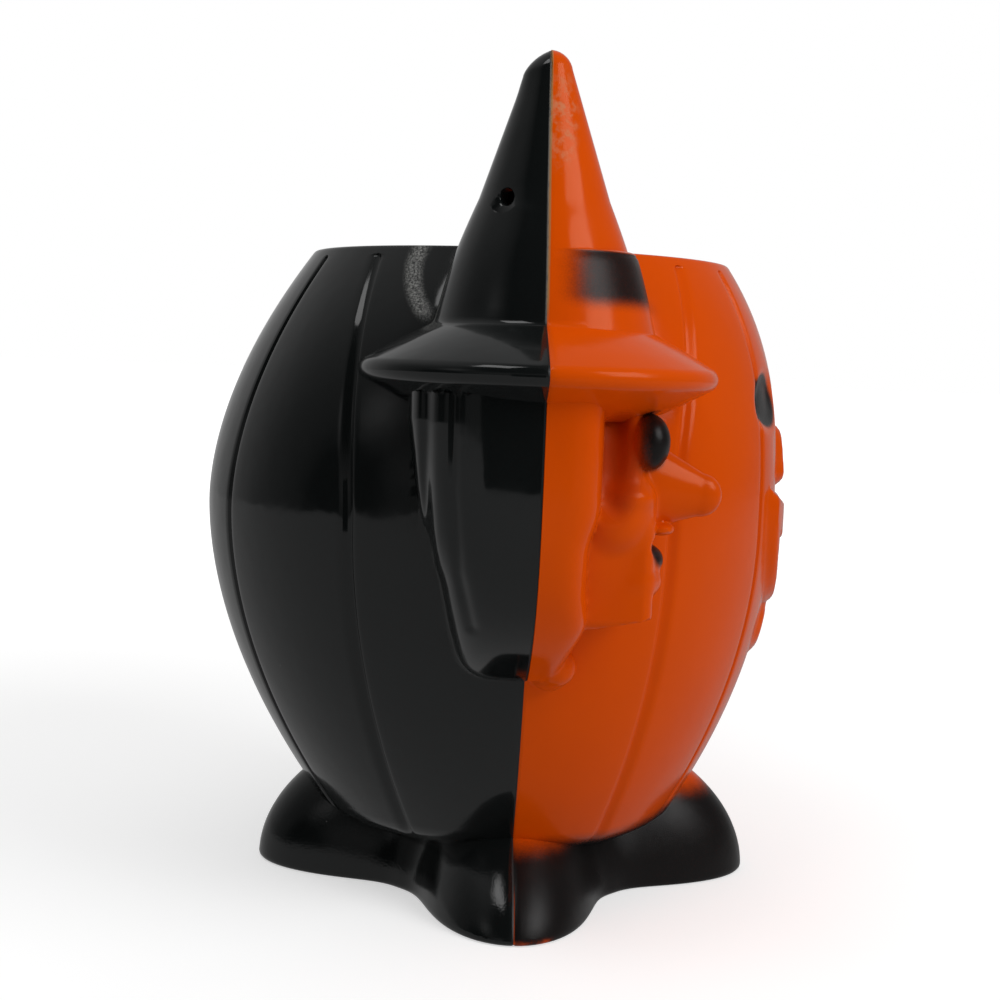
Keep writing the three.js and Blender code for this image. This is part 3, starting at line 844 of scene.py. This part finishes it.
class Nodes(Tree):
    """The plastic's material. Masks for its sprayed paint are measured in millimetres from the seam."""

    def __init__(self, name):
        self.material = bpy.data.materials.new(name)
        super().__init__(self.material)
        self.shader = self.nodes["Principled BSDF"]
        place = self.add("ShaderNodeTexCoord").outputs["Object"]
        scaled = self.add("ShaderNodeVectorMath", operation="MULTIPLY_ADD")
        self.link(place, scaled.inputs[0])
        scaled.inputs[1].default_value = (1 / MM, 1 / MM, 1 / MM)
        scaled.inputs[2].default_value = (0, -SEAM_Y, 0)
        self.place = scaled.outputs[0]
        split = self.add("ShaderNodeSeparateXYZ")
        self.link(self.place, split.inputs[0])
        self.x, self.y, self.z = split.outputs
        self.side = self.math("ABSOLUTE", self.x)

    def join(self, operation, values):
        result = values[0]
        for value in values[1:]:
            result = self.math(operation, result, value)
        return result

    def plus(self, *values):
        return self.join("ADD", values)

    def minus(self, *values):
        return self.join("SUBTRACT", values)

    def times(self, *values):
        return self.join("MULTIPLY", values)

    def either(self, *masks):
        return self.join("MAXIMUM", masks)

    def ramp(self, value, low, high):
        """0 below low and 1 above high, or the other way round where low is the larger."""
        node = self.add("ShaderNodeMapRange", interpolation_type="SMOOTHSTEP")
        ends = (low, high, 0, 1) if low <= high else (high, low, 1, 0)
        for socket, number in zip(node.inputs, (value, *ends)):
            self.put(socket, number)
        return node.outputs[0]

    def noise(self, scale, detail=2.0, roughness=0.5):
        """Noise from 0 to 1 with about scale spots to a millimetre."""
        node = self.add("ShaderNodeTexNoise")
        self.link(self.place, node.inputs["Vector"])
        for name, value in (("Scale", scale), ("Detail", detail), ("Roughness", roughness)):
            node.inputs[name].default_value = value
        return node.outputs["Fac"]

    def spots(self, size, share, radius):
        """Sparse round specks: share of the cells, each size mm wide, holds one."""
        node = self.add("ShaderNodeTexVoronoi")
        self.link(self.place, node.inputs["Vector"])
        node.inputs["Scale"].default_value = 1 / size
        split = self.add("ShaderNodeSeparateColor")
        self.link(node.outputs["Color"], split.inputs[0])
        chosen = self.math("GREATER_THAN", split.outputs[0], 1 - share)
        return self.times(chosen, self.ramp(node.outputs["Distance"], radius / size, 0.4 * radius / size))

    def ellipsoid(self, middle, halves, soft):
        """1 inside a ball squeezed to halves, on both sides of the cup, fading out over soft mm past it."""
        offset = self.add("ShaderNodeCombineXYZ")
        for socket, value, centre, half in zip(offset.inputs, (self.side, self.y, self.z), middle, halves):
            self.put(socket, self.math("DIVIDE", self.minus(value, centre), half))
        length = self.add("ShaderNodeVectorMath", operation="LENGTH")
        self.link(offset.outputs[0], length.inputs[0])
        rim = soft / min(halves)
        return self.ramp(length.outputs["Value"], 1 + rim, 1 - rim / 4)

    def faces_out(self):
        """1 on faces that look away from the cup's upright middle line, 0 inside the cup."""
        product = self.add("ShaderNodeVectorMath", operation="MULTIPLY")
        self.link(self.add("ShaderNodeNewGeometry").outputs["Normal"], product.inputs[0])
        self.link(self.place, product.inputs[1])
        split = self.add("ShaderNodeSeparateXYZ")
        self.link(product.outputs[0], split.inputs[0])
        return self.ramp(self.plus(split.outputs[0], split.outputs[1]), 0.5, 3)

    def mix(self, mask, a, b):
        node = self.add("ShaderNodeMix", data_type="RGBA")
        self.put(node.inputs["Factor"], mask)
        sockets = [socket for socket in node.inputs if socket.type == "RGBA"]
        self.put(sockets[0], a)
        self.put(sockets[1], b)
        return next(socket for socket in node.outputs if socket.type == "RGBA")

    def blend_value(self, mask, a, b):
        part_a = self.times(self.minus(1, mask), a)
        return self.plus(part_a, self.times(mask, b))

    def bumps(self, *layers):
        """Stacks bump nodes of (height, depth in mm)."""
        normal = None
        for height, depth in layers:
            node = self.add("ShaderNodeBump")
            self.link(height, node.inputs["Height"])
            node.inputs["Strength"].default_value = 1
            node.inputs["Distance"].default_value = depth * MM
            if normal:
                self.link(normal, node.inputs["Normal"])
            normal = node.outputs[0]
        self.link(normal, self.shader.inputs["Normal"])


ORANGE = (0.7, 0.077, 0.0)
DEEP_ORANGE = (0.6, 0.06, 0.0)
# Painted shade that darkens the temple recesses beside the witches' eyes
TEMPLE_SHADE_ORANGE = (0.4, 0.026, 0.0)
GLOSS_TINT = (1.0, 0.62, 0.42)
WORN_ORANGE = (0.42, 0.05, 0.0)
BLACK = (0.006, 0.007, 0.007)
PAINT = (0.007, 0.006, 0.006)
TAN = (0.36, 0.22, 0.08)
SCUFFED = (0.55, 0.3, 0.16)
DUST = (0.2, 0.2, 0.19)
# Pale grey of a painted highlight, on the rough ring round each hat's foot
RING_HIGHLIGHT_GREY = (0.42, 0.42, 0.4)


def hat_band_paint(n):
    low, high = BRIM_Z + CROWN["rise"] + 3.0, BRIM_Z + BAND["rise"] - 0.4
    band = n.times(n.ramp(n.z, low - 1.8, low + 1.4), n.ramp(n.z, high + 0.4, high - 0.1),
                   n.ramp(n.y, 0.4, -7.0), n.ramp(n.side, 34, 37))
    return n.times(band, 0.93)


def eye_paint(n):
    # The eyes on either side of each face
    eyes = [n.ellipsoid((FACE_X + across, -15.2, 75.1), (3.9, 3.1, 3.8), 0.8) for across in (4.7, -4.7)]
    return n.times(n.either(*eyes), n.ramp(n.y, -11.8, -13.6))


def mouth_paint(n):
    return n.times(n.ellipsoid((FACE_X, -17.0, 60.0), (4.2, 1.6, 1.9), 0.9), 0.93)


def lantern_paint(n):
    eyes = n.ellipsoid((17, -38, BELLY + 19.3), (6.6, 12, 3.9), 1.0)
    # The gaps in the grin, between their curved lower and upper edges
    share = n.math("DIVIDE", n.minus(n.side, 3.2), 12.3, clamp=True)
    bend = n.minus(1, n.math("SQRT", n.minus(1, share)))
    low = n.plus(BELLY - 10, n.times(bend, bend, 8))
    high = n.minus(BELLY - 2, n.times(share, n.minus(1, share), 6))
    gaps = n.times(n.ramp(n.side, 2.9, 3.8), n.ramp(n.minus(n.z, low), -0.1, 0.7),
                   n.ramp(n.minus(high, n.z), -0.1, 0.7), n.ramp(n.y, -30, -33))
    return n.either(eyes, gaps)


def foot_paint(n, wobble):
    # It fades out up the lobe, higher at the front, and is worn off along the seam and the lower edge
    top = n.plus(n.times(n.ramp(n.y, -14, -30), 3.0), 11.4)
    height = n.minus(n.z, n.plus(top, n.times(wobble, 0.8)))
    seam_wear = n.times(n.ramp(n.y, -0.22, -0.05), n.ramp(n.side, 30, 34), n.ramp(n.z, 9, 5))
    edge_wear = n.times(n.ramp(n.z, 1.3, 0.3), n.ramp(n.side, 39.0, 41.0), n.ramp(n.y, -9, -5),
                        n.ramp(wobble, 0.3, 0.7))
    return n.times(n.ramp(height, 2.6, -2.6), n.minus(1, n.times(seam_wear, 0.5)),
                   n.minus(1, n.times(edge_wear, 0.75)))


def orange_material():
    n = Nodes("orange_plastic")
    wobble = n.noise(0.35, 3)
    fine = n.noise(6.0, 2, 0.7)
    speckle = n.noise(4.0, 3, 0.65)
    # The bowl and the feet are sprayed on their outside only
    outside = n.times(n.either(lantern_paint(n), foot_paint(n, wobble)), n.faces_out())
    paint = n.either(hat_band_paint(n), eye_paint(n), mouth_paint(n), outside)
    # Airbrushed paint breaks up into specks where it is thin
    broken = n.plus(paint, n.times(n.minus(speckle, 0.5), 0.35))
    paint = n.times(n.ramp(broken, 0.0, 1.0), n.ramp(paint, 0.0, 0.15))
    shade = n.ramp(n.noise(0.06, 3), 0.25, 0.8)
    # Painted shade: the temple recesses beside each witch's eyes are darkened, and also made duller
    temple_shade = n.ellipsoid((FACE_X + 6, -10.4, 72.2), (4.5, 2.4, 6.2), 1.6)
    base = n.mix(n.times(shade, 0.3), ORANGE, DEEP_ORANGE)
    base = n.mix(n.times(temple_shade, 0.75), base, TEMPLE_SHADE_ORANGE)
    # Wear: along the seam of the hat, scuffs below the hat's tip, and small dull specks
    edge = n.times(n.ramp(n.y, -0.34, -0.14), n.ramp(n.z, 89, 94), n.ramp(n.side, 30, 33),
                   n.ramp(n.noise(0.9, 3), 0.2, 0.42))
    base = n.mix(n.times(edge, 0.8), base, TAN)
    scuffs = n.ellipsoid((HAT_X, -1.6, 117), (9, 1.6, 5.0), 1.4)
    scuffs = n.times(scuffs, n.ramp(n.noise(0.8, 4, 0.6), 0.42, 0.7))
    base = n.mix(n.times(scuffs, 0.5), base, SCUFFED)
    base = n.mix(n.times(n.spots(3.1, 0.08, 0.12), 0.5), base, WORN_ORANGE)
    n.put(n.shader.inputs["Base Color"], n.mix(paint, base, PAINT))
    smear = n.ramp(n.noise(0.12, 4, 0.6), 0.3, 0.75)
    plastic = n.plus(0.14, n.times(smear, 0.08), n.times(n.either(edge, scuffs, temple_shade), 0.3))
    n.put(n.shader.inputs["Roughness"], n.blend_value(paint, plastic, 0.28))
    n.shader.inputs["IOR"].default_value = 1.28
    n.put(n.shader.inputs["Specular Tint"], n.mix(paint, GLOSS_TINT, (1.0, 1.0, 1.0)))
    n.bumps((n.noise(0.28, 1), 0.05), (n.times(fine, paint), 0.03))
    return n.material


def black_material():
    n = Nodes("black_plastic")
    dust = n.spots(2.6, 0.05, 0.11)
    edge = n.times(n.ramp(n.y, 0.24, 0.1), n.ramp(n.z, 89, 94), n.ramp(n.side, 30, 33),
                   n.ramp(n.noise(0.9, 3), 0.3, 0.5))
    # A rough ring in the bowl's skin, round the foot of each hat, with pale grey specks painted on it as a
    # highlight
    across, up = n.minus(n.y, 9.0), n.minus(n.z, 97.0)
    radius = n.math("SQRT", n.plus(n.times(across, across), n.times(up, up)))
    off_ring = n.math("ABSOLUTE", n.minus(radius, 8.95))
    grain = n.ramp(n.noise(3.5, 3, 0.7), 0.35, 0.7)
    ring = n.times(n.ramp(off_ring, 1.8, 0.3), n.ramp(n.y, 14, 17), n.ramp(n.side, 28, 30),
                   n.ramp(n.side, 44, 41), n.ramp(n.z, 89.5, 92))
    colour = n.mix(n.times(dust, 0.5), BLACK, DUST)
    # Painted highlight: pale grey specks on the ring
    colour = n.mix(n.times(ring, grain, 0.8), colour, RING_HIGHLIGHT_GREY)
    colour = n.mix(n.times(edge, 0.3), colour, TAN)
    n.put(n.shader.inputs["Base Color"], colour)
    smear = n.ramp(n.noise(0.1, 4, 0.6), 0.35, 0.75)
    dull = n.either(dust, ring, n.ramp(n.y, 0.3, 0.22))
    n.put(n.shader.inputs["Roughness"], n.plus(0.07, n.times(smear, 0.06), n.times(dull, 0.35)))
    n.shader.inputs["IOR"].default_value = 1.45
    feet = n.ramp(n.z, 19, 15)
    n.bumps((n.noise(0.25, 1), 0.04), (n.times(n.noise(3.0, 2), n.either(feet, ring)), 0.02))
    return n.material


front = shell("front", "front_shell")
back = shell("back", "back_shell")
for made, material in ((front, orange_material()), (back, black_material())):
    made.data.materials.clear()
    made.data.materials.append(material)


# Camera, at the photograph's viewing angle: it looks along +X at the witch on the left side
def camera():
    distance, height, across = 274.0, 86.0, -3.55
    yaw, pitch, roll, pan = (math.radians(a) for a in (3.04, 5.1, 2.2, 0.61))
    place = Vector((-distance * math.cos(yaw), across + distance * math.sin(yaw), height)) * MM
    forward = Vector((math.cos(yaw) * math.cos(pitch), -math.sin(yaw) * math.cos(pitch), -math.sin(pitch)))
    forward.rotate(Matrix.Rotation(pan, 3, "Z"))
    right = forward.cross(Vector((0, 0, 1))).normalized()
    up = right.cross(forward)
    rolled_right = right * math.cos(roll) + up * math.sin(roll)
    rolled_up = up * math.cos(roll) - right * math.sin(roll)
    data = bpy.data.cameras.new("camera")
    width, focal_share = 36.0, 1.637
    data.sensor_width, data.lens = width, width * focal_share
    data.clip_start, data.clip_end = 0.01, 20
    made = add_object("camera", data)
    turn = Matrix((rolled_right, rolled_up, -forward)).transposed().to_4x4()
    made.matrix_world = Matrix.Translation(place) @ turn
    bpy.context.scene.camera = made


def area_light(name, place, size, power):
    data = bpy.data.lights.new(name, "AREA")
    data.shape, data.size, data.size_y = "RECTANGLE", size[0], size[1]
    data.energy = power
    made = add_object(name, data)
    target = Vector((0, 0, 0.06))
    made.location = place
    made.rotation_mode = "QUATERNION"
    made.rotation_quaternion = (target - Vector(place)).to_track_quat("-Z", "Y")
    return made


def surroundings():
    world = bpy.data.worlds.new("world")
    bpy.context.scene.world = world
    n = Tree(world)
    strength = n.add("ShaderNodeMapRange")
    n.put(strength.inputs["To Min"], SKY)
    n.put(strength.inputs["To Max"], 1.0)
    n.link(n.seen_by_eye_and_gloss(), strength.inputs["Value"])
    background = n.nodes["Background"]
    n.link(strength.outputs["Result"], background.inputs["Strength"])
    n.put(background.inputs["Color"], (1, 1, 1))


# A material with nothing but its output
def bare_material(name):
    material = bpy.data.materials.new(name)
    n = Tree(material)
    n.nodes.remove(n.nodes["Principled BSDF"])
    return material, n


def floor():
    material, n = bare_material("floor")
    cloth, glow = n.add("ShaderNodeBsdfDiffuse"), n.add("ShaderNodeEmission")
    n.put(cloth.inputs["Color"], (FLOOR, FLOOR, FLOOR))
    # The glow makes up for the light that falls off away from the object
    distance = n.add("ShaderNodeVectorMath", operation="LENGTH")
    n.link(n.add("ShaderNodeTexCoord").outputs["Object"], distance.inputs[0])
    level = n.add("ShaderNodeMapRange", interpolation_type="SMOOTHSTEP")
    for socket, value in zip(level.inputs, (distance.outputs["Value"], 0.12, 0.55, *FLOOR_GLOW)):
        n.put(socket, value)
    n.put(glow.inputs["Strength"], n.math("MULTIPLY", n.seen_by_eye_and_gloss(), level.outputs[0]))
    total = n.add("ShaderNodeAddShader")
    n.link(cloth.outputs[0], total.inputs[0])
    n.link(glow.outputs[0], total.inputs[1])
    n.link(total.outputs[0], n.nodes["Material Output"].inputs["Surface"])
    reach, height = 6000, -0.05
    corners = [(x * reach, y * reach, height) for x, y in ((-1, -1), (1, -1), (1, 1), (-1, 1))]
    made = mesh_object("floor", corners, [(0, 1, 2, 3)])
    made.data.materials.append(material)


# Cards that only reflections see: they keep the gloss of the plastic deep
def card(name, brightness, points, faces):
    material, n = bare_material(name)
    glow = n.add("ShaderNodeEmission")
    n.put(glow.inputs["Strength"], brightness)
    n.link(glow.outputs[0], n.nodes["Material Output"].inputs["Surface"])
    made = mesh_object(name, points, faces)
    made.data.materials.append(material)
    for kind in ("camera", "diffuse", "shadow", "transmission", "volume_scatter"):
        setattr(made, "visible_" + kind, False)
    return made


def wall_card(name, brightness, radius, middle, spread, low, high, segments=48):
    turn = np.radians(np.linspace(middle - spread, middle + spread, segments))
    ring = [(radius * math.cos(t), radius * math.sin(t)) for t in turn]
    points = [(x, y, z) for z in (low, high) for x, y in ring]
    faces = [(i, i + 1, segments + i + 1, segments + i) for i in range(segments - 1)]
    card(name, brightness, points, faces)


# Dome with soft patches of light and dark in its grey
def surround():
    step, lowest = 4, -4
    azimuth, elevation = np.meshgrid(np.arange(0, 360, step), np.arange(lowest, 90, step))
    glow = np.full(azimuth.shape, SURROUND_LEVEL)
    for middle, up, half_width, half_height, brightness in SURROUND:
        aside = (azimuth - middle + 180) % 360 - 180
        glow += brightness * np.exp(-((aside / half_width) ** 2) - ((elevation - up) / half_height) ** 2)
    turn, climb = np.radians(azimuth), np.radians(elevation)
    direction = np.stack([np.cos(climb) * np.cos(turn), np.cos(climb) * np.sin(turn), np.sin(climb)], -1)
    points = SURROUND_RADIUS * direction + (0, -SEAM_Y, BELLY)
    rows, count = azimuth.shape
    faces = ring_faces(rows, count)
    faces.append([(rows - 1) * count + i for i in range(count)])
    made = card("surround", 1.0, points.reshape(-1, 3), faces)
    levels = made.data.attributes.new("glow", "FLOAT", "POINT")
    levels.data.foreach_set("value", np.clip(glow, 0, None).ravel().astype(np.float32))
    n = Tree(made.data.materials[0])
    level = n.add("ShaderNodeAttribute", attribute_name="glow")
    n.link(level.outputs["Fac"], n.nodes["Emission"].inputs["Strength"])


def level_card(name, brightness, radius, height, segments=48):
    turn = full_turn(segments)
    points = [(radius * math.cos(t), radius * math.sin(t), height) for t in turn]
    card(name, brightness, points, [tuple(range(segments))])


SKY = 0.42
FLOOR, FLOOR_GLOW = 0.7, (0.5, 0.9)

# Patches of the surround: azimuth, elevation, half width and half height in degrees, and brightness.
# Azimuth 0 is behind the object, 90 to its left and 180 at the camera.
SURROUND_RADIUS = 900
SURROUND_LEVEL = 0.08
SURROUND = (
    (0, 15, 42, 70, 0.42),
    (58, 20, 24, 60, 0.16),
    (95, 55, 40, 22, 0.24),
    (0, 75, 80, 18, 0.08),
    (125, 22, 9, 7, 0.35),
    (118, 2, 13, 10, -0.3),
    (165, 40, 28, 18, -0.3),
    (180, 6, 45, 6, 0.15),
)

camera()
surroundings()
floor()
surround()
level_card("floor_card", 0.36, 900, -0.02)
wall_card("camera_flag", 0.0, 420, 180, 17, 2, 125)
area_light("key", (-0.27, 0.23, 0.74), (0.25, 0.25), 0.6)
area_light("window", (-0.40, -0.57, 0.49), (0.4, 0.42), 2.6)
top = area_light("top", (-0.1, 0, 0.85), (0.8, 0.8), 0.9)
top.visible_glossy = False
bpy.context.scene.view_settings.view_transform = "Standard"
